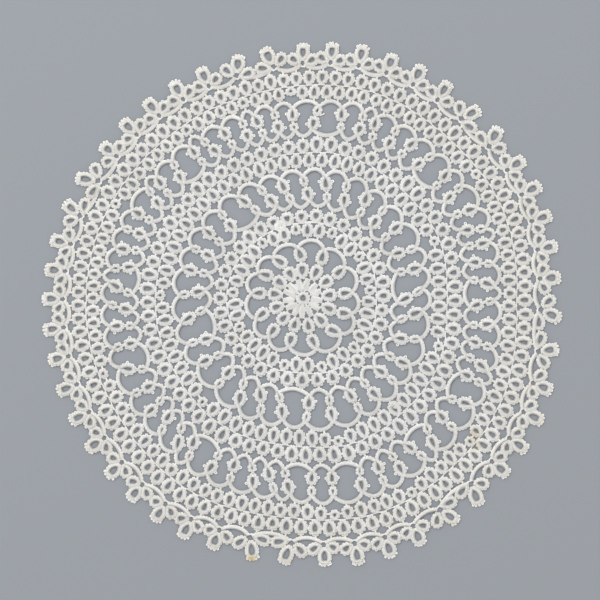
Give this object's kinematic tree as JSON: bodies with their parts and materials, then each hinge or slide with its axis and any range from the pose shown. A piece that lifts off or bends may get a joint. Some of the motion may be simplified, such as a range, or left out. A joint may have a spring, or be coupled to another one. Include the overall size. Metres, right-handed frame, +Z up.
{
  "type": "tatted lace doily",
  "caption": "Round flat lace doily of tatted rings and arches in bands around a small flower, with a scalloped clover rim, laid on a table under a vase or plate.",
  "frame": {"origin": "under the middle of the doily's box, on the surface it lies on", "axes": "+Z up out of the lace, +Y towards the edge that is at the top of the picture"},
  "size_m": [0.2984, 0.3012, 0.0014],
  "materials": {
    "cotton": "matte twisted cotton thread in small knots, white with a few faint yellow stains"
  },
  "bodies": {
    "root": {"doily": "cotton"}
  },
  "joints": []
}
